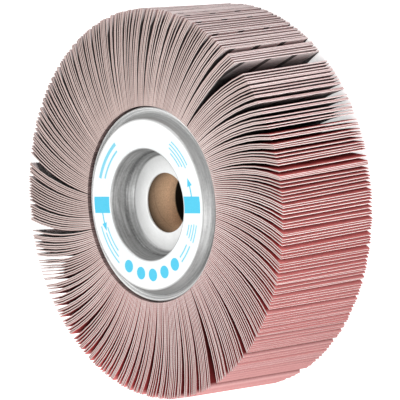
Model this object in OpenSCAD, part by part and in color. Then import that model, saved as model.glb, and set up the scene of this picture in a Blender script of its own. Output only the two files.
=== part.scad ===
// Flap wheel: abrasive cloth flaps cast around a hub and held by two pressed steel flanges.
// The wheel lies on its rear flange, with its axis along +Z and the label on top.

/* [Wheel] */
// Diameter over the tips of the flaps
wheel_d = 165; // [150:1:190]
// Width of the flaps, measured along the axis
face_w = 50; // [42:1:60]
// Diameter of the bore in both flanges
bore_d = 25.4; // [19:0.1:32]

/* [Flanges] */
// Thickness of the steel sheet
sheet_t = 0.9; // [0.7:0.1:1.2]
// Height of the raised ring above the sides of the flaps
ring_rise = 2; // [1:0.1:3]
// Depth of the middle recess below the raised ring
recess_depth = 10.8; // [8:0.1:13]
// Width of the flat washer around the bore
washer_w = 8.1; // [6:0.1:10]
// Height of the foot of the recess wall, up to its pressed step
foot_h = 3.15; // [2:0.05:4]
// How far the foot of the recess wall leans outward
foot_run = 1.05; // [0.5:0.05:1.5]
// Width and height of the pressed step in the recess wall
step_w = 0.4; // [0.2:0.05:0.6]
// How far the upper recess wall leans outward
wall_run = 1.15; // [0.8:0.05:1.6]
// Width of the flat top of the raised ring
ring_w = 13; // [11:0.1:16]
// Depth of the outer channel below the raised ring
channel_depth = 4.5; // [3.2:0.1:5.5]
// How far the outer wall of the raised ring leans outward
shoulder_run = 1.9; // [1.2:0.1:2.6]
// Width of the floor of the outer channel
channel_w = 1.4; // [1:0.1:2]
// Height of the upturned lip above the channel floor
lip_h = 1.3; // [0.8:0.1:1.8]
// How far the lip leans outward
lip_run = 0.6; // [0.3:0.05:1]
// Radius of the bend at the foot of the recess wall
foot_bend = 1.2; // [0.6:0.1:1.6]
// Radius of the bends at both edges of the raised ring
ring_bend = 0.9; // [0.4:0.1:1.1]
// Radius of the bends on both sides of the channel floor
channel_bend = 0.5; // [0.3:0.1:0.6]

/* [Label] */
// Bare metal between the recess and the label
label_margin = 0.95; // [0.9:0.05:1.6]
// Width of the label ring
label_w = 10.2; // [8:0.1:10.6]
// Thickness of the label paper
label_t = 0.15; // [0.1:0.05:0.3]

/* [Core] */
// Step from the bore out to the inside of the cardboard tube
tube_step = 0.6; // [0.3:0.05:1]
// Wall of the cardboard tube
tube_wall = 1.5; // [1:0.1:2]
// How far the flap roots reach in under the raised ring, from its outer edge
root_cover = 1; // [0.5:0.1:3]

/* [Flaps] */
// Thickness of one cloth flap
flap_t = 0.58; // [0.5:0.01:0.75]
// Smallest space between two flaps at their roots
root_gap = 0.03; // [0.02:0.01:0.1]
// Turn of a flap around the axis for each millimetre outward, at its root, in degrees
flap_trail = 0.13; // [0.05:0.01:0.18]
// Growth of that turn for each further square millimetre, which curves the flaps back
flap_curl = 0.00155; // [0:0.00005:0.002]
// Space between the lip of the flange and the notch in the flaps
notch_gap = 0.4; // [0.2:0.05:0.8]
// Strength of the bunching of the flaps at the rim
bunching = 0.9; // [0:0.05:0.95]

/* [Hidden] */
$fn = 96;
packs = 36;

// Heights above the middle plane of the wheel
ring_z = face_w / 2 + ring_rise;
washer_z = ring_z - recess_depth;
channel_z = ring_z - channel_depth;
washer_under = washer_z - sheet_t;
root_half = channel_z - sheet_t;

// Radii, each reached from the bore outward
bore_r = bore_d / 2;
foot_r = bore_r + washer_w;
step_r = foot_r + foot_run;
ring_in_r = step_r + step_w + wall_run;
ring_out_r = ring_in_r + ring_w;
channel_in_r = ring_out_r + shoulder_run;
channel_out_r = channel_in_r + channel_w;
lip_r = channel_out_r + lip_run;
notch_r = lip_r + sheet_t + notch_gap;
root_r = ring_out_r - root_cover;
tube_in_r = bore_r + tube_step;
tube_out_r = tube_in_r + tube_wall;
tip_r = wheel_d / 2;

// As many flaps as stand side by side at the roots
flaps_per_pack = floor(2 * PI * root_r / (packs * (flap_t + root_gap)));
flaps = packs * flaps_per_pack;
pitch = 360 / flaps;

// Visible side of the pressed sheet, from the bore to the top of the lip
sheet_path = [
    [bore_r, washer_z],
    [foot_r, washer_z],
    [step_r, washer_z + foot_h],
    [step_r + step_w, washer_z + foot_h + step_w],
    [ring_in_r, ring_z],
    [ring_out_r, ring_z],
    [channel_in_r, channel_z],
    [channel_out_r, channel_z],
    [lip_r, channel_z + lip_h]
];
bends = [0, foot_bend, 0, 0, ring_bend, ring_bend, channel_bend, channel_bend, 0];

function unit(v) = v / norm(v);
function cross_z(a, b) = a[0] * b[1] - a[1] * b[0];
function under_side(v) = [v[1], -v[0]];
function wrap(a) = a - 360 * round(a / 360);
function polar(r, a) = [r * cos(a), r * sin(a)];

// The path moved to the hidden side of the sheet by a thickness
function moved(path, t) = [
    for (i = [0:len(path) - 1])
        let (
            a = i > 0 ? under_side(unit(path[i] - path[i - 1])) : under_side(unit(path[1] - path[0])),
            b = i < len(path) - 1 ? under_side(unit(path[i + 1] - path[i])) : a
        )
        path[i] + (a + b) * t / (1 + a * b)
];

// A bend is wider on the hidden side where the sheet turns left, and tighter where it turns right
function moved_bends(path, radii, t) = [
    for (i = [0:len(path) - 1])
        radii[i] == 0 ? 0 :
        cross_z(path[i] - path[i - 1], path[i + 1] - path[i]) > 0 ? radii[i] + t : max(radii[i] - t, 0)
];

// The points of one rounded corner b between a and c
function corner(a, b, c, r, steps = 5) =
    let (
        u = unit(a - b),
        v = unit(c - b),
        half = acos(u * v) / 2,
        middle = b + unit(u + v) * r / sin(half),
        from = b + u * r / tan(half) - middle,
        to = b + v * r / tan(half) - middle,
        start = atan2(from[1], from[0]),
        sweep = wrap(atan2(to[1], to[0]) - start)
    )
    [for (k = [0:steps]) middle + polar(r, start + sweep * k / steps)];

function rounded(path, radii) = [
    for (i = [0:len(path) - 1])
        each (radii[i] > 0 ? corner(path[i - 1], path[i], path[i + 1], radii[i]) : [path[i]])
];

function backward(list) = [for (i = [len(list) - 1:-1:0]) list[i]];
function flipped(list) = [for (p = backward(list)) [p[0], -p[1]]];

hidden_path = moved(sheet_path, sheet_t);
hidden_bends = moved_bends(sheet_path, bends, sheet_t);
front_side = rounded(sheet_path, bends);
back_side = rounded(hidden_path, hidden_bends);

// The resin fills the space under the sheet, from the tube to the floor of the channel
resin_side = [
    for (p = back_side)
        if (p[0] > tube_out_r && p[0] < hidden_path[7][0] - channel_bend - sheet_t) p
];

module flange() {
    color([0.8, 0.81, 0.82])
        rotate_extrude()
            polygon(concat(front_side, backward(back_side)));
}

module front_flange() {
    translate([0, 0, ring_z])
        flange();
}

module rear_flange() {
    translate([0, 0, ring_z])
        mirror([0, 0, 1])
            flange();
}

module label_ring() {
    color([0.97, 0.98, 0.99])
        translate([0, 0, 2 * ring_z])
            rotate_extrude()
                translate([ring_in_r + label_margin, 0])
                    square([label_w, label_t]);
}

module core_tube() {
    color([0.72, 0.55, 0.4])
        translate([0, 0, ring_z - washer_under])
            rotate_extrude()
                translate([tube_in_r, 0])
                    square([tube_wall, 2 * washer_under]);
}

module resin_core() {
    rim = concat([[tube_out_r, washer_under]], resin_side, [[root_r, root_half]]);
    color([0.35, 0.2, 0.14])
        translate([0, 0, ring_z])
            rotate_extrude()
                polygon(concat(rim, flipped(rim)));
}

// Places where the flaps part at the rim: angle, opening and reach to each side, in degrees
partings = [
    [48, 3.1, 9],
    [34.5, 1.7, 5],
    [27, 1.5, 5],
    [20.5, 0.9, 4],
    [15, 0.8, 4],
    [9.5, 0.7, 4],
    [87.5, 0.9, 5],
    [98.5, 0.8, 5],
    [109.5, 0.9, 5],
    [142.5, 0.8, 6],
    [170.5, 2.2, 8],
    [192, 1.9, 7],
    [229.5, 1.2, 5],
    [266.5, 0.7, 3],
    [271.5, 0.7, 3],
    [298.5, 2.3, 7],
    [315.5, 1.2, 5],
    [332.5, 0.8, 6]
];

// Small bunches that lean together: bunches around the wheel, strength, and start in degrees
gathers = [[47, 0.07, 130], [83, 0.12, 250], [127, 0.16, 20]];

// Sideways shift of a flap tip that leaves the partings open and gathers the flaps between them
function parted(a, p) =
    let (x = wrap(a - p[0]))
    p[1] / 2 * (x < 0 ? -1 : 1) * exp(-abs(x) / p[2]);
function gathered(a, g) =
    let (width = 360 / g[0])
    -g[1] * ((a + g[2]) % width - width / 2);
function total(list) = list * [for (v = list) 1];
function tip_shift(i) =
    let (a = i * pitch)
    bunching * (total([for (g = gathers) gathered(a, g)]) + total([for (p = partings) parted(a, p)]));

// Turn of the middle line of flap i, and its growth for each millimetre, at x millimetres from its root
reach = tip_r - root_r;
trail_total = flap_trail * reach + flap_curl * reach * reach;
function turn(i, x) = tip_shift(i) * x / reach - flap_trail * x - flap_curl * x * x;
function turn_growth(i, x) = tip_shift(i) / reach - flap_trail - 2 * flap_curl * x;

// Angle of the middle line of flap i at radius r, and how far the flap leans from the radius there
function flap_angle(i, r) = i * pitch + trail_total + turn(i, r - root_r);
function lean(i, r) = atan(r * turn_growth(i, r - root_r) * PI / 180);

// One edge point of flap i at radius r, on the side +1 or -1
function edge(i, r, side) =
    polar(r, flap_angle(i, r)) + side * flap_t / 2 * polar(1, flap_angle(i, r) + 90 + lean(i, r));
function root_edge(i, side) =
    polar(root_r, flap_angle(i, root_r) + side * flap_t / 2 / (root_r * cos(lean(i, root_r))) * 180 / PI);

module flap(i) {
    mid_r = (notch_r + tip_r) / 2;
    end_r = tip_r - flap_t / 2 * sin(abs(lean(i, tip_r)));
    notch_left = edge(i, notch_r, 1);
    notch_right = edge(i, notch_r, -1);
    translate([0, 0, ring_z - root_half])
        linear_extrude(2 * root_half)
            polygon([root_edge(i, -1), notch_right, notch_left, root_edge(i, 1)]);
    translate([0, 0, ring_rise])
        linear_extrude(face_w)
            polygon([
                notch_right, edge(i, mid_r, -1), edge(i, end_r, -1),
                edge(i, end_r, 1), edge(i, mid_r, 1), notch_left
            ]);
}

module flap_pack(p) {
    color([0.72, 0.5, 0.48])
        for (k = [0:flaps_per_pack - 1])
            flap((p - 1) * flaps_per_pack + k);
}

front_flange();
rear_flange();
label_ring();
core_tube();
resin_core();
for (p = [1:packs])
    flap_pack(p);
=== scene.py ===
"""Flap wheel: the looks of the abrasive flaps, the pressed flanges, the printed label and the studio around them."""

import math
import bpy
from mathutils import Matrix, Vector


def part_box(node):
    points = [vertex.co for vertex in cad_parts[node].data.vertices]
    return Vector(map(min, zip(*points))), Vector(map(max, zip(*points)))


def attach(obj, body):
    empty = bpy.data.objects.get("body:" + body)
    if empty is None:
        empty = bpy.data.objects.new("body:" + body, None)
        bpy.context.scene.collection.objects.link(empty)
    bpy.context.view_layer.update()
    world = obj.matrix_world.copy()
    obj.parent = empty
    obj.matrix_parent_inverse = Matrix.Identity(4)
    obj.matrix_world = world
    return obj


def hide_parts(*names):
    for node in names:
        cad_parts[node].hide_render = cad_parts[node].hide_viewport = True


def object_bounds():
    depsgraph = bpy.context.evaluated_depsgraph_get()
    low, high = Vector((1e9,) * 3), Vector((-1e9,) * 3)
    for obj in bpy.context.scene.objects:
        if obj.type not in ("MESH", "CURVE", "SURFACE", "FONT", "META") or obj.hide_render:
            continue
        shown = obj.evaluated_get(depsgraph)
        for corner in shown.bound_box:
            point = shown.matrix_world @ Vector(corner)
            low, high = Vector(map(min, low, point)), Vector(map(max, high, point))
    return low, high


bl_info = {
    "name": "Flap Wheel",
    "version": (1, 0, 0),
    "blender": (4, 5, 0),
    "location": "View3D > Sidebar > Flap Wheel",
    "description": "Builds an abrasive flap wheel that lies on its rear flange, with its label and studio",
    "category": "Add Mesh",
}

import bpy
import numpy as np
from bpy.props import FloatProperty, FloatVectorProperty, IntProperty, PointerProperty
from mathutils import Matrix, Vector

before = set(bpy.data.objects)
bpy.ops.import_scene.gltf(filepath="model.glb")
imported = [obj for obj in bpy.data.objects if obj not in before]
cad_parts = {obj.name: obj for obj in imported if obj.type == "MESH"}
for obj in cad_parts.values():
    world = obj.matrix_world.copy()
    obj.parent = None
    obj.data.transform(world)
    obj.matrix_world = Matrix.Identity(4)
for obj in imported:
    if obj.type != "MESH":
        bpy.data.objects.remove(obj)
CAD_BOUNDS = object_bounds()

MM = 0.001
PACKS = sorted(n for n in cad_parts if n.startswith("flap_pack_"))
FLANGE_LOW, FLANGE_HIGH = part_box("front_flange")
PACK_LOW, PACK_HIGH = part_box(PACKS[0])
PACK_RADIUS = (CAD_BOUNDS[1][0] - CAD_BOUNDS[0][0]) / 2
LABEL_LOW, LABEL_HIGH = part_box("label_ring")
TUBE_LOW, TUBE_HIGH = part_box("core_tube")
MIDDLE_Z = (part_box("rear_flange")[0][2] + FLANGE_HIGH[2]) / 2


def length(name, description, value):
    return FloatProperty(name=name, description=description, default=value, min=0, unit="LENGTH")


def angle(name, description, degrees):
    return FloatProperty(name=name, description=description, default=math.radians(degrees), unit="ROTATION")


def colour(name, description, value):
    return FloatVectorProperty(
        name=name, description=description, default=value, size=3, min=0, max=1, subtype="COLOR"
    )


def share(name, description, value):
    return FloatProperty(name=name, description=description, default=value, min=0, max=1, subtype="FACTOR")


class FlangeProperties(bpy.types.PropertyGroup):
    sheet: length("Sheet", "Thickness of the pressed steel", 0.9 * MM)
    bore: length("Bore radius", "Radius of the hole in the middle", 12.7 * MM)
    recess: length("Recess depth", "Depth of the washer below the raised ring", 10.8 * MM)
    washer: length("Washer width", "Width of the flat around the bore", 8.1 * MM)
    foot_height: length("Foot height", "Height of the lower recess wall", 3.15 * MM)
    foot_run: length("Foot run", "Outward lean of the lower recess wall", 1.05 * MM)
    step: length("Step", "Width of the pressed step in the recess wall", 0.4 * MM)
    wall_run: length("Wall run", "Outward lean of the upper recess wall", 1.15 * MM)
    ring: length("Ring width", "Width of the raised ring", 13 * MM)
    channel_depth: length("Channel depth", "Depth of the outer channel below the ring", 4.5 * MM)
    shoulder_run: length("Shoulder run", "Outward lean of the outer wall of the ring", 1.9 * MM)
    channel: length("Channel width", "Width of the floor of the outer channel", 1.4 * MM)
    lip_height: length("Lip height", "Height of the upturned lip", 1.3 * MM)
    lip_run: length("Lip run", "Outward lean of the lip", 0.6 * MM)
    steel: colour("Steel", "Colour of the galvanised sheet", (0.78, 0.785, 0.78))


class FlapProperties(bpy.types.PropertyGroup):
    per_pack: IntProperty(name="Flaps in a pack", description="Flaps side by side in one pack", default=10, min=1)
    root: length("Root radius", "Radius at which the flaps start", 35.4 * MM)
    notch: length("Notch radius", "Radius of the notch around the lip of the flange", 41.6 * MM)
    root_half: length("Root half width", "Half the width of the flaps under the flange", 21.6 * MM)
    root_cloth: length("Cloth at the root", "Thickness of a flap at its root", 0.6 * MM)
    tip_cloth: length("Cloth at the tip", "Thickness of the cloth at its worn tip", 0.52 * MM)
    trail: angle("Trail", "Turn of a flap for each millimetre outward, at the root", 0.13)
    curl: angle("Curl", "Growth of the trail for each square millimetre outward", 0.00155)
    skew: angle("Skew", "Turn of the rear edge of a flap against its front edge", 1.9)
    uneven_skew: angle("Uneven skew", "How much the skew rises and falls around the wheel", 1.3)
    most_skewed: angle("Most skewed", "Where around the wheel the flaps are skewed most", 105)
    grey_side: angle("Grey side", "Where around the wheel the flaps show most of their grain", 120)
    bunching: FloatProperty(name="Bunching", description="How strongly the flaps gather at the rim", default=1.1, min=0)
    edge: colour("Cut edge", "Colour of the cut edges where the grain shows", (0.62, 0.51, 0.47))
    edge_warm: colour("Warm cut edge", "Colour of the cut edges where the red cloth shows", (1.0, 0.72, 0.66))
    tip: colour("Tip", "Colour of the cloth ends where the grain shows", (1.0, 0.88, 0.86))
    tip_warm: colour("Warm tip", "Colour of the cloth ends where the red cloth shows", (0.90, 0.63, 0.61))
    lining: colour("Lining", "Colour of the backing layer in the cut edges", (0.22, 0.045, 0.04))
    # The cut edges in the notch beside the flange are darkened with painted shade.
    shaded_notch_edge: colour("Notch edge", "Colour of the stained cut edges beside the flange", (0.30, 0.20, 0.19))
    # Backing and grain: painted lighter beside the tip, and darkened further into the gaps as painted shade.
    backing: colour("Backing", "Colour of the cloth on the back of the flaps", (0.50, 0.055, 0.055))
    backing_rim: colour("Backing at the tip", "Colour of the backing beside the tip", (1.0, 0.25, 0.24))
    backing_pale: colour("Pale backing", "Colour of the backing beside the tip where the flaps lie close", (0.70, 0.44, 0.43))
    grain: colour("Grain", "Colour of the abrasive side", (0.17, 0.145, 0.14))
    grain_rim: colour("Grain at the tip", "Colour of the abrasive side beside the tip", (0.58, 0.53, 0.52))


class LabelProperties(bpy.types.PropertyGroup):
    paper: colour("Paper", "Colour of the label paper", (0.65, 0.70, 0.72))
    band: colour("Bands", "Colour of the printed fields", (0.056, 0.41, 0.58))
    line: colour("Lines", "Colour of the fine printed bars", (0.16, 0.46, 0.58))
    ink: length("Ink", "Height of the print above the paper", 0.02 * MM)
    field_height: length("Field height", "Height of the two side fields", 7.0 * MM)
    field_angle: angle("Field angle", "Turn of the two side fields", 4.2)


class CoreProperties(bpy.types.PropertyGroup):
    card: colour("Cardboard", "Colour of the tube inside the bore", (0.88, 0.56, 0.36))
    resin: colour("Resin", "Colour of the cast resin", (0.09, 0.035, 0.025))


class StudioProperties(bpy.types.PropertyGroup):
    key_power: FloatProperty(name="Key light", description="Power of the key light", default=21, min=0, unit="POWER")
    top_power: FloatProperty(name="Top light", description="Power of the light from above", default=9.2, min=0, unit="POWER")
    panel_power: FloatProperty(
        name="Panel light", description="Power of the wide panel that the flat steel mirrors", default=4.5, min=0, unit="POWER"
    )
    world_light: FloatProperty(name="World", description="Strength of the surrounding light", default=0.45, min=0)
    floor: colour("Floor", "Colour of the floor", (0.86, 0.86, 0.86))


def rest_selection():
    if bpy.context.mode != "OBJECT":
        bpy.ops.object.mode_set(mode="OBJECT")
    bpy.ops.object.select_all(action="DESELECT")


def pick(piece):
    rest_selection()
    piece.select_set(True)
    bpy.context.view_layer.objects.active = piece


def place_points(piece, points):
    """Move the corners of a mesh to new places, given as an array of rows."""
    piece.data.vertices.foreach_set("co", np.asarray(points, dtype=np.float32).ravel())
    piece.data.update()


def points_of(piece):
    points = np.zeros(len(piece.data.vertices) * 3, dtype=np.float32)
    piece.data.vertices.foreach_get("co", points)
    return points.reshape(-1, 3).astype(float)


def apply_modifiers(piece):
    pick(piece)
    for modifier in list(piece.modifiers):
        bpy.ops.object.modifier_apply(modifier=modifier.name)


def smooth(piece, degrees=35):
    pick(piece)
    bpy.ops.object.shade_smooth_by_angle(angle=math.radians(degrees))


def mend_normals(piece):
    pick(piece)
    bpy.ops.object.mode_set(mode="EDIT")
    bpy.ops.mesh.select_all(action="SELECT")
    bpy.ops.mesh.remove_doubles(threshold=1e-6)
    bpy.ops.mesh.normals_make_consistent(inside=False)
    bpy.ops.object.mode_set(mode="OBJECT")


def finish_piece(piece, name, material, nodes=()):
    piece.name = name
    piece.data.name = name
    if material is not None:
        piece.data.materials.clear()
        piece.data.materials.append(material)
    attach(piece, "root")
    if nodes:
        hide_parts(*nodes)
    return piece


def turned_piece(outline, steps=240):
    """Turn a closed outline of (radius, height) points around the axis of the wheel."""
    rest_selection()
    bpy.ops.mesh.primitive_circle_add(vertices=len(outline), radius=outline[0][0])
    piece = bpy.context.active_object
    place_points(piece, [(r, 0, z) for r, z in outline])
    bpy.ops.object.mode_set(mode="EDIT")
    bpy.ops.mesh.select_all(action="SELECT")
    bpy.ops.mesh.spin(steps=steps, angle=math.tau, center=(0, 0, 0), axis=(0, 0, 1))
    bpy.ops.object.mode_set(mode="OBJECT")
    mend_normals(piece)
    return piece


# Outline of the pressed sheet


def unit(v):
    return v / np.linalg.norm(v)


def under_side(v):
    return np.array([v[1], -v[0]])


def moved_path(path, thickness):
    """The path moved to the hidden side of the sheet."""
    moved = []
    for i, point in enumerate(path):
        after = under_side(unit(path[i + 1] - point)) if i < len(path) - 1 else None
        before = under_side(unit(point - path[i - 1])) if i > 0 else after
        after = before if after is None else after
        moved.append(point + (before + after) * thickness / (1 + before @ after))
    return moved


def moved_bends(path, bends, thickness):
    """A bend is wider on the hidden side where the sheet turns left, and tighter where it turns right."""
    moved = []
    for i, bend in enumerate(bends):
        if bend == 0:
            moved.append(0)
            continue
        a, b = path[i] - path[i - 1], path[i + 1] - path[i]
        left = a[0] * b[1] - a[1] * b[0] > 0
        moved.append(bend + thickness if left else max(bend - thickness, 0.12 * MM))
    return moved


def corner(a, b, c, radius, steps=8):
    u, v = unit(a - b), unit(c - b)
    half = math.acos(np.clip(u @ v, -1, 1)) / 2
    middle = b + unit(u + v) * radius / math.sin(half)
    start, end = b + u * radius / math.tan(half) - middle, b + v * radius / math.tan(half) - middle
    first = math.atan2(start[1], start[0])
    sweep = math.remainder(math.atan2(end[1], end[0]) - first, math.tau)
    turns = [first + sweep * k / steps for k in range(steps + 1)]
    return [middle + radius * np.array([math.cos(t), math.sin(t)]) for t in turns]


def rounded_path(path, bends):
    points = []
    for i, bend in enumerate(bends):
        points += corner(path[i - 1], path[i], path[i + 1], bend) if bend > 0 else [path[i]]
    return points


def sheet_outline(p):
    """Closed outline of the front flange, as (radius, height) points in the frame of the wheel."""
    top = FLANGE_HIGH[2]
    foot = p.bore + p.washer
    step = foot + p.foot_run
    ring_in = step + p.step + p.wall_run
    ring_out = ring_in + p.ring
    channel_in = ring_out + p.shoulder_run
    channel_out = channel_in + p.channel
    washer_z, channel_z = top - p.recess, top - p.channel_depth
    path = [
        (p.bore, washer_z),
        (foot, washer_z),
        (step, washer_z + p.foot_height),
        (step + p.step, washer_z + p.foot_height + p.step),
        (ring_in, top),
        (ring_out, top),
        (channel_in, channel_z),
        (channel_out, channel_z),
        (channel_out + p.lip_run, channel_z + p.lip_height),
    ]
    path = [np.array(point) for point in path]
    bends = [0, 1.2 * MM, 0.3 * MM, 0.12 * MM, 0.9 * MM, 0.9 * MM, 0.5 * MM, 0.5 * MM, 0]
    hidden = rounded_path(moved_path(path, p.sheet), moved_bends(path, bends, p.sheet))
    shown = rounded_path(path, bends)
    return soft_ends(shown, hidden, 0.22 * MM)


def soft_ends(shown, hidden, radius):
    """Join both sides of the sheet with lightly rounded edges at the bore and at the lip."""
    bore = [
        *corner(hidden[1], hidden[0], shown[0], radius, 4),
        *corner(hidden[0], shown[0], shown[1], radius, 4),
    ]
    lip = [
        *corner(shown[-2], shown[-1], hidden[-1], radius, 4),
        *corner(shown[-1], hidden[-1], hidden[-2], radius, 4),
    ]
    return bore + shown[1:-1] + lip + hidden[-2:0:-1]


# Shared effects of the materials


def add_node(tree, kind, **settings):
    made = tree.nodes.new(kind)
    for name, value in settings.items():
        setattr(made, name, value)
    return made


def put(tree, value, socket):
    """Link a socket to another one, or set it to a plain value."""
    if isinstance(value, bpy.types.NodeSocket):
        tree.links.new(value, socket)
    else:
        socket.default_value = value


def calc(tree, operation, *values):
    made = add_node(tree, "ShaderNodeMath", operation=operation)
    for value, socket in zip(values, made.inputs):
        put(tree, value, socket)
    return made.outputs[0]


def noise(tree, vector, scale, detail=2.0, roughness=0.5):
    made = add_node(tree, "ShaderNodeTexNoise")
    put(tree, vector, made.inputs["Vector"])
    made.inputs["Scale"].default_value = scale
    made.inputs["Detail"].default_value = detail
    made.inputs["Roughness"].default_value = roughness
    return made.outputs["Fac"]


def span(tree, value, low, high, start=0.0, end=1.0):
    made = add_node(tree, "ShaderNodeMapRange")
    for socket, setting in zip(made.inputs, (value, low, high, start, end)):
        put(tree, setting, socket)
    return made.outputs[0]


def blend(tree, amount, first, second, kind="MIX"):
    made = add_node(tree, "ShaderNodeMix", data_type="RGBA", blend_type=kind)
    put(tree, amount, made.inputs[0])
    put(tree, first, made.inputs[6])
    put(tree, second, made.inputs[7])
    return made.outputs[2]


def stretched(tree, vector, scale, location=(0, 0, 0)):
    made = add_node(tree, "ShaderNodeMapping")
    put(tree, vector, made.inputs["Vector"])
    made.inputs["Scale"].default_value = scale
    made.inputs["Location"].default_value = location
    return made.outputs[0]


def bump(tree, height, distance, strength=1.0):
    made = add_node(tree, "ShaderNodeBump")
    put(tree, height, made.inputs["Height"])
    made.inputs["Distance"].default_value = distance
    made.inputs["Strength"].default_value = strength
    return made.outputs[0]


def new_group(name, inputs, outputs):
    """A shader node group with its sockets, given as name to (kind, default)."""
    tree = bpy.data.node_groups.new(name, "ShaderNodeTree")
    for label, (kind, value) in inputs.items():
        socket = tree.interface.new_socket(label, in_out="INPUT", socket_type="NodeSocket" + kind)
        if value is not None:
            socket.default_value = value
    for label, kind in outputs.items():
        tree.interface.new_socket(label, in_out="OUTPUT", socket_type="NodeSocket" + kind)
    return tree, tree.nodes.new("NodeGroupInput"), tree.nodes.new("NodeGroupOutput")


def use_group(tree, group, **values):
    made = add_node(tree, "ShaderNodeGroup", node_tree=group)
    for name, value in values.items():
        put(tree, value, made.inputs[name])
    return made


def cloth_weave_group():
    """A plain weave on flat coordinates in metres: threads that pass over and under each other."""
    if "cloth_weave" in bpy.data.node_groups:
        return bpy.data.node_groups["cloth_weave"]
    tree, given, result = new_group(
        "cloth_weave",
        {"Vector": ("Vector", None), "Threads": ("Float", 1400.0)},
        {"Height": "Float", "Tone": "Float"},
    )
    across = add_node(tree, "ShaderNodeSeparateXYZ")
    tree.links.new(given.outputs["Vector"], across.inputs[0])
    slack = calc(tree, "MULTIPLY", noise(tree, given.outputs["Vector"], 900.0, 1.0), 1.4)
    turns = calc(tree, "MULTIPLY", given.outputs["Threads"], math.tau)
    warp = calc(tree, "SINE", calc(tree, "ADD", calc(tree, "MULTIPLY", across.outputs[0], turns), slack))
    weft = calc(tree, "SINE", calc(tree, "ADD", calc(tree, "MULTIPLY", across.outputs[1], turns), slack))
    height = span(tree, calc(tree, "MULTIPLY", warp, weft), -1.0, 1.0)
    tree.links.new(height, result.inputs["Height"])
    loose = noise(tree, given.outputs["Vector"], 2600.0, 3.0, 0.7)
    tone = calc(tree, "ADD", calc(tree, "MULTIPLY", height, 0.65), calc(tree, "MULTIPLY", loose, 0.35))
    tree.links.new(tone, result.inputs["Tone"])
    return tree


def grit_group():
    """Abrasive grains under a coat of size: dark sharp points with a few pale ones."""
    if "grit" in bpy.data.node_groups:
        return bpy.data.node_groups["grit"]
    tree, given, result = new_group(
        "grit",
        {"Vector": ("Vector", None), "Scale": ("Float", 1600.0)},
        {"Height": "Float", "Sparkle": "Float"},
    )
    cells = add_node(tree, "ShaderNodeTexVoronoi", feature="F1")
    tree.links.new(given.outputs["Vector"], cells.inputs["Vector"])
    tree.links.new(given.outputs["Scale"], cells.inputs["Scale"])
    height = span(tree, cells.outputs["Distance"], 0.0, 0.7, 1.0, 0.0)
    tree.links.new(height, result.inputs["Height"])
    picked = add_node(tree, "ShaderNodeSeparateColor")
    tree.links.new(cells.outputs["Color"], picked.inputs[0])
    tree.links.new(span(tree, picked.outputs[0], 0.55, 1.0), result.inputs["Sparkle"])
    return tree


def dust_group():
    """Broad soft tone changes that handling and dust leave on a surface."""
    if "dust_tone" in bpy.data.node_groups:
        return bpy.data.node_groups["dust_tone"]
    tree, given, result = new_group(
        "dust_tone",
        {"Vector": ("Vector", None), "Scale": ("Float", 60.0)},
        {"Tone": "Float", "Fine": "Float"},
    )
    for label, detail, factor in (("Tone", 3.0, 1.0), ("Fine", 5.0, 14.0)):
        made = add_node(tree, "ShaderNodeTexNoise")
        tree.links.new(given.outputs["Vector"], made.inputs["Vector"])
        tree.links.new(calc(tree, "MULTIPLY", given.outputs["Scale"], factor), made.inputs["Scale"])
        made.inputs["Detail"].default_value = detail
        tree.links.new(span(tree, made.outputs["Fac"], 0.3, 0.7), result.inputs[label])
    return tree


def new_material(name):
    material = bpy.data.materials.new(name)
    material.use_nodes = True
    tree = material.node_tree
    shader = tree.nodes["Principled BSDF"]
    places = tree.nodes.new("ShaderNodeTexCoord")
    return material, tree, shader, places


def shade(value, factor):
    return (*[min(1.0, c * factor) for c in value], 1.0)


def edge_depth_group():
    """How far a point of a flap lies from its tip and its side edges, from 0 at the edge to 1 well inside; these serve
    as masks for the painted shade in the gaps between flaps.
    """
    if "edge_depth" in bpy.data.node_groups:
        return bpy.data.node_groups["edge_depth"]
    tree, given, result = new_group(
        "edge_depth",
        {"Vector": ("Vector", None), "Reach": ("Float", 3.2 * MM)},
        {"Depth": "Float", "Inner": "Float"},
    )
    across = add_node(tree, "ShaderNodeSeparateXYZ")
    tree.links.new(given.outputs["Vector"], across.inputs[0])
    from_tip = calc(tree, "SUBTRACT", PACK_RADIUS, across.outputs[0])
    off_middle = calc(tree, "ABSOLUTE", calc(tree, "SUBTRACT", across.outputs[1], MIDDLE_Z))
    from_side = calc(tree, "SUBTRACT", (PACK_HIGH[2] - PACK_LOW[2]) / 2, off_middle)
    nearest = calc(tree, "MINIMUM", from_tip, calc(tree, "MULTIPLY", from_side, 14.0))
    fray = calc(tree, "MULTIPLY", noise(tree, given.outputs["Vector"], 1200.0, 2.0), 0.5 * MM)
    depth = calc(tree, "DIVIDE", calc(tree, "ADD", nearest, fray), given.outputs["Reach"])
    tree.links.new(span(tree, depth, 0.0, 1.0), result.inputs["Depth"])
    tree.links.new(span(tree, from_tip, 3.0 * MM, 14.0 * MM), result.inputs["Inner"])
    return tree


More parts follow.
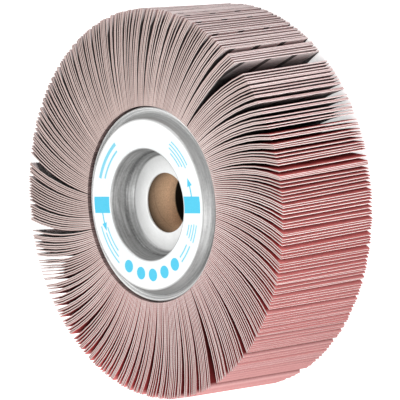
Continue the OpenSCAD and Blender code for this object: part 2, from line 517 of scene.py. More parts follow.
def cut_cloth_material(name, base, warm, lining, threads, dark, rough, depth, uneven=0.55, warmest=1.0):
    """The cut ends of the woven cloth, with their threads, dust and the tone of each flap."""
    material, tree, shader, places = new_material(name)
    surface = add_node(tree, "ShaderNodeUVMap", uv_map="cloth").outputs[0]
    weave = use_group(tree, cloth_weave_group(), Vector=surface, Threads=threads)
    dust = use_group(tree, dust_group(), Vector=places.outputs["Object"], Scale=90.0)
    tone = add_node(tree, "ShaderNodeAttribute", attribute_name="flap_tone").outputs["Fac"]
    redness = add_node(tree, "ShaderNodeAttribute", attribute_name="flap_warmth").outputs["Fac"]
    redness = span(tree, redness, 0.0, warmest)
    low = blend(tree, redness, shade(base, dark), shade(warm, dark))
    high = blend(tree, redness, shade(base, 1.5), shade(warm, 1.5))
    woven = blend(tree, weave.outputs["Tone"], low, high)
    dusty = blend(tree, calc(tree, "MULTIPLY", dust.outputs["Tone"], 0.25), woven, low)
    toned = blend(tree, calc(tree, "MULTIPLY", tone, uneven), dusty, low)
    across = add_node(tree, "ShaderNodeSeparateXYZ")
    tree.links.new(surface, across.inputs[0])
    layer = calc(tree, "MULTIPLY", span(tree, across.outputs[1], 0.0 * MM, 0.11 * MM), calc(tree, "MAXIMUM", redness, 0.5))
    tree.links.new(blend(tree, layer, toned, shade(lining, 1)), shader.inputs["Base Color"])
    tree.links.new(span(tree, weave.outputs["Tone"], 0, 1, rough, min(1.0, rough + 0.15)), shader.inputs["Roughness"])
    tree.links.new(bump(tree, weave.outputs["Height"], depth), shader.inputs["Normal"])
    shader.inputs["Specular IOR Level"].default_value = 0.2
    return material


def narrowed(tree, surface, base, rim, pale, closed, reach):
    """Colour of a side of a flap with painted shade: lighter beside its tip, darker further in, where the next flap
    covers it, and where the flaps lie close or show their grain.
    """
    redness = add_node(tree, "ShaderNodeAttribute", attribute_name="flap_warmth").outputs["Fac"]
    opening = add_node(tree, "ShaderNodeAttribute", attribute_name="flap_opening").outputs["Fac"]
    packed = span(tree, redness, 0.8, 0.97)
    place = use_group(tree, edge_depth_group(), Vector=surface, Reach=span(tree, packed, 0.0, 1.0, reach, 2.2 * MM))
    tip = blend(tree, calc(tree, "POWER", redness, 6.0), shade(rim, 1), shade(pale, 1))
    tone = add_node(tree, "ShaderNodeAttribute", attribute_name="flap_tone").outputs["Fac"]
    tip = blend(tree, calc(tree, "MULTIPLY", tone, 0.5), tip, shade(rim, 0.55))
    # Painted shade beside a tip whose gap is closed.
    shaded_tip = blend(tree, 0.25, tip, shade(rim, 0.3))
    glow = span(tree, redness, 0.4, 0.65)
    # Painted shade further in: darker on the grain side of the wheel, where flaps lie close, in closed gaps, and deep
    # inside.
    ground = blend(tree, glow, shade(base, 0.35), shade(base, 1))
    near = blend(tree, packed, ground, shade(base, 0.2))
    hidden = blend(tree, calc(tree, "SUBTRACT", glow, packed), shade(base, closed * 0.5), shade(base, closed))
    inner_shaded = blend(tree, place.outputs["Inner"], blend(tree, opening, hidden, near), shade(base, 0.08))
    return blend(tree, place.outputs["Depth"], blend(tree, opening, shaded_tip, tip), inner_shaded)


def backing_material(name, base, rim, pale):
    """The red cloth on the back of the flaps."""
    material, tree, shader, places = new_material(name)
    surface = add_node(tree, "ShaderNodeUVMap", uv_map="cloth").outputs[0]
    weave = use_group(tree, cloth_weave_group(), Vector=surface, Threads=1500.0)
    # The ground carries the painted shade in the gaps between flaps, from narrowed().
    ground = narrowed(tree, surface, base, rim, pale, 0.6, 3.8 * MM)
    woven = blend(tree, calc(tree, "MULTIPLY", weave.outputs["Tone"], 0.35), ground, shade((1, 1, 1), 0.4), "MULTIPLY")
    tree.links.new(woven, shader.inputs["Base Color"])
    tree.links.new(span(tree, weave.outputs["Tone"], 0, 1, 0.75, 0.95), shader.inputs["Roughness"])
    tree.links.new(bump(tree, weave.outputs["Height"], 0.06 * MM), shader.inputs["Normal"])
    shader.inputs["Specular IOR Level"].default_value = 0.04
    return material


def grain_material(name, base, rim):
    """The abrasive side: dark grains, a few that catch the light, and slanting darker bars where the gap beside it is
    open.
    """
    material, tree, shader, places = new_material(name)
    surface = add_node(tree, "ShaderNodeUVMap", uv_map="cloth").outputs[0]
    grit = use_group(tree, grit_group(), Vector=surface, Scale=1900.0)
    opening = add_node(tree, "ShaderNodeAttribute", attribute_name="flap_opening").outputs["Fac"]
    # The ground carries the painted shade in the gaps between flaps, from narrowed().
    ground = narrowed(tree, surface, base, rim, rim, 0.06, span(tree, opening, 0.5, 0.9, 4 * MM, 13 * MM))
    grains = blend(tree, calc(tree, "MULTIPLY", grit.outputs["Height"], 0.4), ground, shade((1, 1, 1), 0.35), "MULTIPLY")
    across = add_node(tree, "ShaderNodeSeparateXYZ")
    tree.links.new(surface, across.inputs[0])
    slant = calc(tree, "ADD", across.outputs[1], calc(tree, "MULTIPLY", across.outputs[0], 0.45))
    place = calc(tree, "FRACT", calc(tree, "DIVIDE", slant, 15.3 * MM))
    bar = span(tree, calc(tree, "ABSOLUTE", calc(tree, "SUBTRACT", place, 0.5)), 0.10, 0.13, 0.95, 0.0)
    shown = calc(tree, "MULTIPLY", bar, span(tree, opening, 0.3, 0.6))
    barred = blend(tree, shown, grains, shade(base, 0.12))
    tree.links.new(barred, shader.inputs["Base Color"])
    tree.links.new(span(tree, grit.outputs["Sparkle"], 0, 1, 0.85, 0.55), shader.inputs["Roughness"])
    tree.links.new(bump(tree, grit.outputs["Height"], 0.12 * MM), shader.inputs["Normal"])
    shader.inputs["Specular IOR Level"].default_value = 0.3
    return material


def wall_shade_group():
    """Painted shade on the pressed walls: bands by distance from the axis, a painted shade line at the step of the
    recess wall, and the rub marks that run around the axis.
    """
    if "painted_wall_shade" in bpy.data.node_groups:
        return bpy.data.node_groups["painted_wall_shade"]
    tree, given, result = new_group(
        "painted_wall_shade", {"Vector": ("Vector", None)}, {"Wall": "Float", "Step": "Float", "Rub": "Float"}
    )
    across = add_node(tree, "ShaderNodeSeparateXYZ")
    tree.links.new(given.outputs["Vector"], across.inputs[0])
    squares = [calc(tree, "POWER", across.outputs[k], 2.0) for k in (0, 1)]
    radius = calc(tree, "SQRT", calc(tree, "ADD", *squares))
    # Painted shade bands: the recess wall from the fillet beside the washer, and the outer wall of the ring down into
    # the channel.
    inner = calc(tree, "MULTIPLY", span(tree, radius, 0.0198, 0.0206), span(tree, radius, 0.0235, 0.0243, 1.0, 0.0))
    outer = calc(tree, "MULTIPLY", span(tree, radius, 0.0352, 0.0363), span(tree, radius, 0.0391, 0.0397, 1.0, 0.0))
    tree.links.new(calc(tree, "MAXIMUM", inner, calc(tree, "MULTIPLY", outer, 0.85)), result.inputs["Wall"])
    # Painted shade line along the pressed step in the recess wall.
    off_step = calc(tree, "ABSOLUTE", calc(tree, "SUBTRACT", radius, 0.02205))
    tree.links.new(span(tree, off_step, 0.0002, 0.0005, 1.0, 0.0), result.inputs["Step"])
    around = add_node(tree, "ShaderNodeCombineXYZ")
    for value, factor, socket in zip((radius, across.outputs[2], across.outputs[1]), (900, 900, 90), around.inputs):
        tree.links.new(calc(tree, "MULTIPLY", value, float(factor)), socket)
    tree.links.new(noise(tree, around.outputs[0], 1.0, 4.0, 0.65), result.inputs["Rub"])
    return tree


def steel_material(name, base):
    """Thin zinc on pressed sheet: soft and cloudy on the flats, with painted shade on the pressed walls, streaked by
    rub marks, and a painted shade line at the step.
    """
    material, tree, shader, places = new_material(name)
    spot = places.outputs["Object"]
    dust = use_group(tree, dust_group(), Vector=spot, Scale=70.0)
    walls = use_group(tree, wall_shade_group(), Vector=spot)
    cloudy = blend(tree, calc(tree, "MULTIPLY", dust.outputs["Tone"], 0.5), shade(base, 1.05), shade(base, 0.88))
    # Painted shade: the walls are darkened to a tenth to a third of the steel colour and streaked by the rub marks, and
    # the step gets a dark painted shade line.
    streaks = blend(tree, span(tree, walls.outputs["Rub"], 0.35, 0.65), shade(base, 0.09), shade(base, 0.30))
    wall_shaded = blend(tree, calc(tree, "MULTIPLY", walls.outputs["Wall"], 0.92), cloudy, streaks)
    step_shaded = blend(tree, calc(tree, "MULTIPLY", walls.outputs["Step"], 0.85), wall_shaded, shade(base, 0.06))
    marked = blend(tree, calc(tree, "MULTIPLY", dust.outputs["Fine"], 0.15), step_shaded, shade(base, 0.7))
    tree.links.new(marked, shader.inputs["Base Color"])
    tree.links.new(span(tree, dust.outputs["Tone"], 0, 1, 0.42, 0.55), shader.inputs["Roughness"])
    tree.links.new(bump(tree, walls.outputs["Rub"], 0.02 * MM, 0.6), shader.inputs["Normal"])
    shader.inputs["Metallic"].default_value = 0.45
    return material


def paper_material(name, base, ink=False):
    """Smooth label paper, or the ink that lies on it."""
    material, tree, shader, places = new_material(name)
    dust = use_group(tree, dust_group(), Vector=places.outputs["Object"], Scale=160.0)
    fine = calc(tree, "MULTIPLY", dust.outputs["Fine"], 0.3 if ink else 0.08)
    tree.links.new(blend(tree, fine, shade(base, 1.0), shade(base, 1.3 if ink else 0.9)), shader.inputs["Base Color"])
    tree.links.new(span(tree, dust.outputs["Tone"], 0, 1, 0.5, 0.6), shader.inputs["Roughness"])
    tree.links.new(bump(tree, dust.outputs["Fine"], 0.01 * MM, 0.4), shader.inputs["Normal"])
    shader.inputs["Specular IOR Level"].default_value = 0.25
    return material


def card_material(name, base):
    """Wound cardboard: a spiral seam, pressed fibres and streaks along the winding, with painted shade that darkens it
    towards the front flange and a nearly black painted shadow deep in the bore.
    """
    material, tree, shader, places = new_material(name)
    spot = places.outputs["Object"]
    across = add_node(tree, "ShaderNodeSeparateXYZ")
    tree.links.new(spot, across.inputs[0])
    turn = calc(tree, "DIVIDE", calc(tree, "ARCTAN2", across.outputs[1], across.outputs[0]), math.tau)
    wind = calc(tree, "FRACT", calc(tree, "ADD", turn, calc(tree, "DIVIDE", across.outputs[2], 19.0 * MM)))
    seam = span(tree, calc(tree, "ABSOLUTE", calc(tree, "SUBTRACT", wind, 0.5)), 0.0, 0.022, 1.0, 0.0)
    fibres = noise(tree, stretched(tree, spot, (1500.0, 1500.0, 2400.0)), 1.0, 4.0, 0.65)
    flecks = blend(tree, span(tree, fibres, 0.3, 0.7), shade(base, 0.75), shade(base, 1.25))
    seamed = blend(tree, calc(tree, "MULTIPLY", seam, 0.35), flecks, shade(base, 0.45))
    # Painted shadow: nearly black from about 15.2 mm below the top of the tube, where the edge of the bore shades it.
    deep_shadow = span(tree, across.outputs[2], TUBE_HIGH[2] - 16 * MM, TUBE_HIGH[2] - 15.2 * MM, 1.0, 0.0)
    shaded = blend(tree, deep_shadow, seamed, shade(base, 0.012))
    # Painted shade: darker over the top 11.5 mm of the tube, darkest beside the front flange.
    rim = span(tree, across.outputs[2], TUBE_HIGH[2] - 11.5 * MM, TUBE_HIGH[2] - 0.8 * MM, 0.0, 0.93)
    tree.links.new(blend(tree, rim, shaded, shade(base, 0.03)), shader.inputs["Base Color"])
    height = calc(tree, "SUBTRACT", calc(tree, "MULTIPLY", fibres, 0.3), seam)
    tree.links.new(bump(tree, height, 0.08 * MM), shader.inputs["Normal"])
    tree.links.new(span(tree, fibres, 0, 1, 0.75, 0.95), shader.inputs["Roughness"])
    shader.inputs["Specular IOR Level"].default_value = 0.1
    return material


def resin_material(name, base):
    """Cast resin with small bubbles and a dull skin."""
    material, tree, shader, places = new_material(name)
    spot = places.outputs["Object"]
    grit = use_group(tree, grit_group(), Vector=spot, Scale=900.0)
    dust = use_group(tree, dust_group(), Vector=spot, Scale=120.0)
    tree.links.new(blend(tree, dust.outputs["Tone"], shade(base, 0.8), shade(base, 1.3)), shader.inputs["Base Color"])
    tree.links.new(span(tree, dust.outputs["Fine"], 0, 1, 0.5, 0.8), shader.inputs["Roughness"])
    tree.links.new(bump(tree, grit.outputs["Height"], 0.05 * MM), shader.inputs["Normal"])
    return material


class FLAPWHEEL_OT_flanges(bpy.types.Operator):
    """Turn the two pressed steel flanges"""

    bl_idname = "flap_wheel.flanges"
    bl_label = "Flanges"

    def execute(self, context):
        p = context.scene.flap_wheel_flange
        steel = steel_material("galvanised_steel", p.steel)
        outline = sheet_outline(p)
        turned_over = [(r, 2 * MIDDLE_Z - z) for r, z in outline]
        for name, points in (("front_flange", outline), ("rear_flange", turned_over)):
            piece = turned_piece(points)
            smooth(piece, 28)
            finish_piece(piece, name + "_pressing", steel, [name])
        return {"FINISHED"}


def flat_flap(p):
    """One flat flap of cloth, notched at its root: radius along X, width along Z."""
    rest_selection()
    bpy.ops.mesh.primitive_grid_add(x_subdivisions=7, y_subdivisions=3, size=1)
    flap = bpy.context.active_object
    radii = np.array([p.root, *np.linspace(p.notch, PACK_RADIUS, 7)])
    heights = np.array([PACK_LOW[2], MIDDLE_Z - p.root_half, MIDDLE_Z + p.root_half, PACK_HIGH[2]])
    flat = points_of(flap)
    column = np.rint((flat[:, 0] + 0.5) * 7).astype(int)
    row = np.rint((flat[:, 1] + 0.5) * 3).astype(int)
    place_points(flap, np.column_stack([radii[column], np.zeros(len(flat)), heights[row]]))
    in_notch = [
        f for f in flap.data.polygons if f.center.x < p.notch and abs(f.center.z - MIDDLE_Z) > p.root_half
    ]
    numbers = [f.index for f in in_notch]
    bpy.ops.object.mode_set(mode="EDIT")
    bpy.ops.mesh.select_mode(type="FACE")
    bpy.ops.mesh.select_all(action="DESELECT")
    bpy.ops.object.mode_set(mode="OBJECT")
    for number in numbers:
        flap.data.polygons[number].select = True
    bpy.ops.object.mode_set(mode="EDIT")
    bpy.ops.mesh.delete(type="FACE")
    bpy.ops.object.mode_set(mode="OBJECT")
    cloth = flap.modifiers.new("cloth", "SOLIDIFY")
    cloth.thickness = p.root_cloth
    cloth.offset = 0
    apply_modifiers(flap)
    mend_normals(flap)
    return flap


def dress_flap(flap, materials):
    """Give each side of the flat flap its cloth and its own flat coordinates."""
    mesh = flap.data
    for material in materials:
        mesh.materials.append(material)
    cloth = mesh.uv_layers.new(name="cloth")
    for face in mesh.polygons:
        n = face.normal
        side = int(np.argmax(np.abs(n)))
        face.material_index = {0: 3 if n[0] > 0 else 4, 1: 1 if n[1] > 0 else 2, 2: 0}[side]
        u, v = {0: (2, 1), 1: (0, 2), 2: (0, 1)}[side]
        for loop in face.loop_indices:
            co = mesh.vertices[mesh.loops[loop].vertex_index].co
            cloth.data[loop].uv = (co[u], co[v])
    for name in ("flap_tone", "flap_opening", "flap_warmth"):
        mesh.attributes.new(name, "FLOAT", "POINT")


# Where the flaps part at the rim, at half the width of the wheel: angle, opening and reach to each side, in degrees
PARTINGS = (
    (48, 3.7, 11),
    (34.5, 1.7, 5),
    (27, 1.5, 5),
    (20.5, 0.9, 4),
    (15, 0.8, 4),
    (9.5, 0.7, 4),
    (87.5, 0.9, 5),
    (98.5, 0.8, 5),
    (109.5, 0.9, 5),
    (142.5, 0.8, 6),
    (170.5, 2.2, 8),
    (192, 1.9, 7),
    (229.5, 1.2, 5),
    (266.5, 0.7, 3),
    (271.5, 0.7, 3),
    (298.5, 2.3, 7),
    (315.5, 1.2, 5),
    (332.5, 0.8, 6),
)
# Small bunches that lean together: bunches around the wheel, strength and start in degrees
GATHERS = ((47, 0.07, 130), (83, 0.12, 250), (127, 0.16, 20))
# Where the bunches are weakest: angle and reach in degrees, and the share that is lost there
CALM = (332, 32, 0.4)
WIDE_OPEN = 2.2 * MM
# How far a flap strays from its place, and the least space that stays between two tips
WANDER = math.radians(0.15)
CLEARANCE = 0.02 * MM
HALF_WIDTH = (PACK_HIGH[2] - PACK_LOW[2]) / 2


def tip_shift(turn):
    """Sideways shift of a flap tip at an angle around the wheel."""
    a, shift = math.degrees(turn), 0
    for bunches, strength, start in GATHERS:
        width = 360 / bunches
        shift -= strength * (((a + start) % width) - width / 2)
    place, reach, lost = CALM
    shift *= 1 - lost * math.exp(-((math.remainder(a - place, 360) / reach) ** 2))
    for place, opening, reach in PARTINGS:
        x = math.remainder(a - place, 360)
        shift += opening / 2 * math.copysign(math.exp(-abs(x) / reach), x)
    return math.radians(shift)


def skew_at(p, turn):
    """Turn of the rear edge against the front edge, for the flap at an angle around the wheel."""
    return p.skew + p.uneven_skew * math.cos(turn - p.most_skewed)


def settled_tips(p, fates, pitch):
    """Small turns of the rear and the front corner of each tip, which keep the flaps out of each other."""
    total = (PACK_RADIUS - p.root) / MM
    turns = np.arange(len(fates)) * pitch
    shifts = np.array([tip_shift(turn) for turn in turns]) * p.bunching
    skews = np.array([skew_at(p, turn) for turn in turns])
    slopes = PACK_RADIUS / MM * (shifts / total - p.trail - 2 * p.curl * total)
    least = (p.tip_cloth + CLEARANCE) / PACK_RADIUS * np.sqrt(1 + slopes**2)
    pushes = []
    for axial in (-1, 1):
        start = turns + shifts + WANDER * (fates[:, 3] + fates[:, 4] * axial) - skews / 2 * axial
        tips = start.copy()
        for _ in range(600):
            lacking = np.maximum(least - np.diff(tips, append=tips[0] + math.tau), 0) / 2
            tips += np.roll(lacking, 1) - lacking
        pushes.append(tips - start)
    return np.column_stack(pushes)


def bent_flap(flat, p, turn, fate, push):
    """Places of the flat flap's corners once it is set in the wheel at an angle, with its own small faults."""
    reach = PACK_RADIUS - p.root
    r, y, z = flat[:, 0].copy(), flat[:, 1], flat[:, 2].copy()
    out = (r - p.root) / reach
    axial = (z - MIDDLE_Z) / HALF_WIDTH
    r += out**4 * (0.16 * fate[0] - 0.1 + 0.05 * fate[1] * axial) * MM
    z += np.clip((r - p.notch) / (8 * MM), 0, 1) * 0.12 * MM * fate[2]
    x = (r - p.root) / MM
    total = (PACK_RADIUS - p.root) / MM
    trail = p.trail * x + p.curl * x * x
    start = turn + p.trail * total + p.curl * total * total
    shift = tip_shift(turn) * p.bunching
    wander = WANDER * (fate[3] * out**1.5 + fate[4] * axial * out**2)
    pushed = out * ((push[0] + push[1]) / 2 + axial * (push[1] - push[0]) / 2)
    a = start - trail + shift * out + wander + pushed + skew_at(p, turn) * (MIDDLE_Z - z) / (2 * HALF_WIDTH)
    slope = r * (shift / reach - (p.trail + 2 * p.curl * x) / MM)
    lean = np.arctan(slope)
    thick = p.root_cloth + (p.tip_cloth - p.root_cloth) * out
    side = np.sign(y) * thick / 2
    normal = a + math.pi / 2 + lean
    return np.column_stack([r * np.cos(a) + side * np.cos(normal), r * np.sin(a) + side * np.sin(normal), z])


def openings(flat, p, turn, pitch):
    """How open the space beside each point of a flap is, from 0 for closed to 1 for wide open; it steers the painted
    shade in the gaps.
    """
    shifts = [tip_shift(turn + k * pitch) * p.bunching for k in (-1, 0, 1)]
    out = (flat[:, 0] - p.root) / (PACK_RADIUS - p.root)
    after = flat[:, 0] * (pitch + (shifts[2] - shifts[1]) * out)
    before = flat[:, 0] * (pitch + (shifts[1] - shifts[0]) * out)
    space = np.where(flat[:, 1] > 0, after, before) - p.root_cloth
    return np.clip(space / WIDE_OPEN, 0, 1) ** 1.5


class FLAPWHEEL_OT_flaps(bpy.types.Operator):
    """Cut one flap, and set it around the wheel in packs"""

    bl_idname = "flap_wheel.flaps"
    bl_label = "Flaps"

    def execute(self, context):
        p = context.scene.flap_wheel_flap
        materials = (
            cut_cloth_material("cloth_cut_edge", p.edge, p.edge_warm, p.lining, 1250.0, 0.42, 0.8, 0.10 * MM, 0.45),
            backing_material("cloth_backing", p.backing, p.backing_rim, p.backing_pale),
            grain_material("abrasive_grain", p.grain, p.grain_rim),
            cut_cloth_material("cloth_tip", p.tip, p.tip_warm, p.lining, 1150.0, 0.5, 0.8, 0.12 * MM, 0.5, 0.65),
            # Notch edges: a dark colour and a low dark factor give them painted shade.
            cut_cloth_material("shaded_cloth_notch", p.shaded_notch_edge, p.shaded_notch_edge, p.shaded_notch_edge, 900.0, 0.12, 0.7, 0.08 * MM, 1.0),
        )
        flap = flat_flap(p)
        dress_flap(flap, materials)
        smooth(flap, 30)
        flat = points_of(flap)
        flaps = len(PACKS) * p.per_pack
        pitch = math.tau / flaps
        fates = np.random.default_rng(11).uniform(-1, 1, (flaps, 6))
        pushes = settled_tips(p, fates, pitch)
        for number, node in enumerate(PACKS):
            copies = []
            for k in range(p.per_pack):
                place = number * p.per_pack + k
                turn, fate = place * pitch, fates[place]
                leaf = flap.copy()
                leaf.data = flap.data.copy()
                context.collection.objects.link(leaf)
                place_points(leaf, bent_flap(flat, p, turn, fate, pushes[place]))
                for name, values in (
                    ("flap_tone", np.full(len(flat), 0.7 * abs(fate[5]) + 0.3 * math.sin(6.5 * turn) ** 2)),
                    ("flap_opening", openings(flat, p, turn, pitch)),
                    ("flap_warmth", np.full(len(flat), 0.5 - 0.5 * math.cos(turn - p.grey_side))),
                ):
                    leaf.data.attributes[name].data.foreach_set("value", values.astype(np.float32))
                copies.append(leaf)
            pick(copies[0])
            for leaf in copies:
                leaf.select_set(True)
            bpy.ops.object.join()
            finish_piece(copies[0], node + "_cloth", None, [node])
        bpy.data.objects.remove(flap)
        return {"FINISHED"}


def polar_strip(inner, outer, start, end, z, steps):
    """A flat strip of the label that follows the ring: radii and angles may change along it."""
    rest_selection()
    bpy.ops.mesh.primitive_grid_add(x_subdivisions=steps, y_subdivisions=1, size=1)
    strip = bpy.context.active_object
    flat = points_of(strip)
    along, side = flat[:, 0] + 0.5, 0.5 - flat[:, 1]
    a = start + (end - start) * along
    low = np.array([inner(t) for t in along])
    high = np.array([outer(t) for t in along])
    r = low + (high - low) * side
    place_points(strip, np.column_stack([r * np.cos(a), r * np.sin(a), np.full(len(r), z)]))
    return strip


def label_field(ring_in, ring_out, height, turn, z):
    """A side field: level edges above and below, and the arcs of the ring at its ends."""
    rest_selection()
    bpy.ops.mesh.primitive_grid_add(x_subdivisions=2, y_subdivisions=12, size=1)
    field = bpy.context.active_object
    flat = points_of(field)
    y = flat[:, 1] * height
    r = ring_in + (ring_out - ring_in) * (flat[:, 0] + 0.5)
    x = np.sqrt(r * r - y * y)
    c, s = math.cos(turn), math.sin(turn)
    place_points(field, np.column_stack([x * c - y * s, x * s + y * c, np.full(len(x), z)]))
    return field


def printed(parts, name, ink, material):
    """Join flat printed parts and give them the thickness of the ink."""
    pick(parts[0])
    for part in parts:
        part.select_set(True)
    if len(parts) > 1:
        bpy.ops.object.join()
    piece = parts[0]
    layer = piece.modifiers.new("ink", "SOLIDIFY")
    layer.thickness = ink
    layer.offset = 1
    apply_modifiers(piece)
    mend_normals(piece)
    return finish_piece(piece, name, material)


# Fine bars of the label: angle, half angle, radius and height, in degrees and millimetres
FINE_BARS = (
    (146, 17, 31.6, 1.6),
    (146, 15, 28.6, 0.9),
    (47, 12, 32.2, 0.6),
    (47, 13, 30.7, 0.6),
    (48, 11, 29.2, 0.6),
    (47, 8, 27.7, 0.6),
    (218, 17, 32.0, 0.7),
    (219.5, 12, 30.1, 0.7),
    (216, 12, 28.2, 0.7),
    (323, 8, 31.4, 0.7),
    (323, 7, 29.4, 0.7),
    (342, 7, 32.4, 0.6),
    (342, 7, 30.9, 0.6),
    (342, 6, 29.4, 0.6),
    (342, 5, 27.9, 0.6),
)
DISC_ANGLES = (246, 262, 277, 292, 307)
DISC_RING, DISC_RADIUS = 29.6 * MM, 2.7 * MM


class FLAPWHEEL_OT_label(bpy.types.Operator):
    """Cut the paper label and print its fields, arrows, discs and bars"""

    bl_idname = "flap_wheel.label"
    bl_label = "Label"

    def execute(self, context):
        p = context.scene.flap_wheel_label
        ring_out = LABEL_HIGH[0]
        ring_in = ring_out - 10.2 * MM
        low, high = LABEL_LOW[2], LABEL_HIGH[2]
        edge = 0.04 * MM
        outline = [
            (ring_in, low), (ring_out, low), (ring_out, high - edge),
            (ring_out - edge, high), (ring_in + edge, high), (ring_in, high - edge),
        ]
        paper = turned_piece(outline, 180)
        smooth(paper, 30)
        finish_piece(paper, "label_paper_ring", paper_material("label_paper", p.paper), ["label_ring"])
        band = paper_material("label_band_ink", p.band, ink=True)
        line = paper_material("label_line_ink", p.line, ink=True)
        z = high
        margin = 0.15 * MM
        fields = []
        for turn in (p.field_angle, p.field_angle + math.pi):
            fields.append(label_field(ring_in + margin, ring_out - margin, p.field_height, turn, z))
            half = math.asin(p.field_height / 2 / (29.5 * MM))
            stem_end, head_end = turn + half + math.radians(8.5), turn + half + math.radians(15.5)
            fields.append(polar_strip(lambda t: 29.15 * MM, lambda t: 29.85 * MM, turn + half, stem_end, z, 8))
            fields.append(
                polar_strip(
                    lambda t: (29.5 - 1.5 * (1 - t)) * MM, lambda t: (29.5 + 1.5 * (1 - t) + 0.02) * MM,
                    stem_end, head_end, z, 6,
                )
            )
        for degrees in DISC_ANGLES:
            rest_selection()
            a = math.radians(degrees)
            place = (DISC_RING * math.cos(a), DISC_RING * math.sin(a), z)
            bpy.ops.mesh.primitive_circle_add(vertices=40, radius=DISC_RADIUS, fill_type="NGON", location=place)
            disc = bpy.context.active_object
            bpy.ops.object.transform_apply(location=True, rotation=True, scale=True)
            fields.append(disc)
        printed(fields, "label_fields", p.ink, band)
        bars = []
        for degrees, half, radius, height in FINE_BARS:
            start, end = math.radians(degrees - half), math.radians(degrees + half)
            inner, outer = (radius - height / 2) * MM, (radius + height / 2) * MM
            bars.append(polar_strip(lambda t, r=inner: r, lambda t, r=outer: r, start, end, z, 14))
        printed(bars, "label_bars", p.ink, line)
        return {"FINISHED"}


class FLAPWHEEL_OT_core(bpy.types.Operator):
    """Finish the cardboard tube and the resin between the flanges"""

    bl_idname = "flap_wheel.core"
    bl_label = "Core"

    def execute(self, context):
        p = context.scene.flap_wheel_core
        for node, material in (
            ("core_tube", card_material("wound_cardboard", p.card)),
            ("resin_core", resin_material("cast_resin", p.resin)),
        ):
            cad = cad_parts[node]
            cad.data.materials.clear()
            cad.data.materials.append(material)
        return {"FINISHED"}


def fitted_camera(context):
    """The camera from the photograph's angle, found from the edges of the rings of the wheel."""
    yaw, pitch, roll = math.radians(-48.804), math.radians(6.2306), math.radians(0.7964)
    distance, side, rise = 1.33713, -2.166 * MM, 0.172 * MM
    turned = Matrix.Rotation(roll, 3, "Z") @ Matrix.Rotation(pitch, 3, "X") @ Matrix.Rotation(yaw, 3, "Y")
    back = turned.transposed()
    data = bpy.data.cameras.new("photo_camera")
    data.sensor_width = 36
    data.lens = 282.355
    data.clip_start, data.clip_end = 0.05, 20
    camera = bpy.data.objects.new("photo_camera", data)
    place = back @ Vector((-side, -rise, distance)) + Vector((0, 0, MIDDLE_Z))
    camera.matrix_world = Matrix.Translation(place) @ back.to_4x4()
    context.collection.objects.link(camera)
    context.scene.camera = camera


def soft_lamp(context, name, place, target, size, power, tint=(1, 1, 1)):
    data = bpy.data.lights.new(name, "AREA")
    data.shape = "DISK"
    data.size = size
    data.energy = power
    data.color = tint
    lamp = bpy.data.objects.new(name, data)
    lamp.location = place
    lamp.rotation_euler = (Vector(target) - Vector(place)).to_track_quat("-Z", "Y").to_euler()
    context.collection.objects.link(lamp)


def shown_white(tree, lit, white_share):
    """A surface that is lit as usual, and shows partly as plain white to the camera and in gloss."""
    rays = add_node(tree, "ShaderNodeLightPath")
    seen = calc(tree, "MAXIMUM", rays.outputs["Is Camera Ray"], rays.outputs["Is Glossy Ray"])
    seen = calc(tree, "MAXIMUM", seen, rays.outputs["Is Transmission Ray"])
    white = add_node(tree, "ShaderNodeEmission")
    white.inputs["Color"].default_value = (1, 1, 1, 1)
    tree.links.new(calc(tree, "MULTIPLY", seen, white_share), white.inputs["Strength"])
    both = add_node(tree, "ShaderNodeAddShader")
    tree.links.new(lit, both.inputs[0])
    tree.links.new(white.outputs[0], both.inputs[1])
    return both.outputs[0]


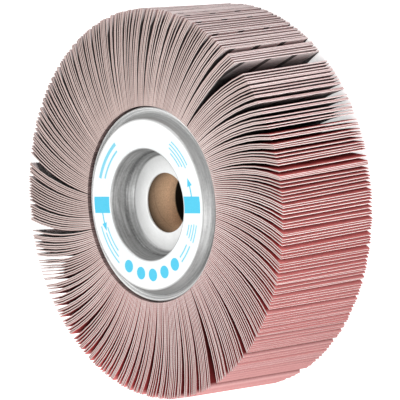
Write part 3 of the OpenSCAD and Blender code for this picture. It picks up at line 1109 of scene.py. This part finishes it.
class FLAPWHEEL_OT_studio(bpy.types.Operator):
    """Set the pale floor, the soft lamps, the world and the camera"""

    bl_idname = "flap_wheel.studio"
    bl_label = "Studio"

    def execute(self, context):
        p = context.scene.flap_wheel_studio
        rest_selection()
        bpy.ops.mesh.primitive_plane_add(size=8, location=(0, 0, CAD_BOUNDS[0][2]))
        floor = bpy.context.active_object
        floor.name = "studio_floor"
        material = bpy.data.materials.new("pale_floor")
        material.use_nodes = True
        tree = material.node_tree
        shader = tree.nodes["Principled BSDF"]
        shader.inputs["Base Color"].default_value = (*p.floor, 1)
        shader.inputs["Roughness"].default_value = 0.9
        shader.inputs["Specular IOR Level"].default_value = 0.1
        out = tree.nodes["Material Output"]
        tree.links.new(shown_white(tree, shader.outputs[0], 0.58), out.inputs["Surface"])
        floor.data.materials.append(material)
        world = bpy.data.worlds.new("studio_world")
        context.scene.world = world
        world.use_nodes = True
        tree = world.node_tree
        sky = tree.nodes["Background"]
        rays = add_node(tree, "ShaderNodeLightPath")
        seen = calc(tree, "MAXIMUM", rays.outputs["Is Camera Ray"], rays.outputs["Is Transmission Ray"])
        tree.links.new(span(tree, seen, 0.0, 1.0, p.world_light, 1.0), sky.inputs["Strength"])
        sky.inputs["Color"].default_value = (1, 1, 1, 1)
        centre = (0, 0, MIDDLE_Z)
        soft_lamp(context, "key_lamp", (0.99, -0.31, 0.64), centre, 1.0, p.key_power)
        soft_lamp(context, "top_lamp", (-0.35, 0.95, 0.85), centre, 0.8, p.top_power)
        soft_lamp(context, "panel_lamp", (-0.97, -0.14, 0.87), centre, 1.1, p.panel_power)
        fitted_camera(context)
        context.scene.view_settings.view_transform = "Standard"
        return {"FINISHED"}


class FLAPWHEEL_PT_panel(bpy.types.Panel):
    bl_idname = "FLAPWHEEL_PT_panel"
    bl_label = "Flap Wheel"
    bl_space_type = "VIEW_3D"
    bl_region_type = "UI"
    bl_category = "Flap Wheel"

    def draw(self, context):
        for maker, settings in MAKERS:
            box = self.layout.box()
            box.operator(maker.bl_idname)
            group = getattr(context.scene, settings)
            for name in group.bl_rna.properties.keys():
                if name not in {"rna_type", "name"}:
                    box.prop(group, name)


GROUPS = {
    "flap_wheel_flange": FlangeProperties,
    "flap_wheel_flap": FlapProperties,
    "flap_wheel_label": LabelProperties,
    "flap_wheel_core": CoreProperties,
    "flap_wheel_studio": StudioProperties,
}
MAKERS = (
    (FLAPWHEEL_OT_flanges, "flap_wheel_flange"),
    (FLAPWHEEL_OT_flaps, "flap_wheel_flap"),
    (FLAPWHEEL_OT_label, "flap_wheel_label"),
    (FLAPWHEEL_OT_core, "flap_wheel_core"),
    (FLAPWHEEL_OT_studio, "flap_wheel_studio"),
)


def register():
    for cls in (*GROUPS.values(), *(maker for maker, _ in MAKERS), FLAPWHEEL_PT_panel):
        bpy.utils.register_class(cls)
    for name, group in GROUPS.items():
        setattr(bpy.types.Scene, name, PointerProperty(type=group))


def unregister():
    for name in GROUPS:
        delattr(bpy.types.Scene, name)
    for cls in (FLAPWHEEL_PT_panel, *(maker for maker, _ in reversed(MAKERS)), *GROUPS.values()):
        bpy.utils.unregister_class(cls)


def main():
    register()
    for maker, _ in MAKERS:
        area, _, name = maker.bl_idname.partition(".")
        getattr(getattr(bpy.ops, area), name)()
    rest_selection()


if __name__ == "__main__":
    main()
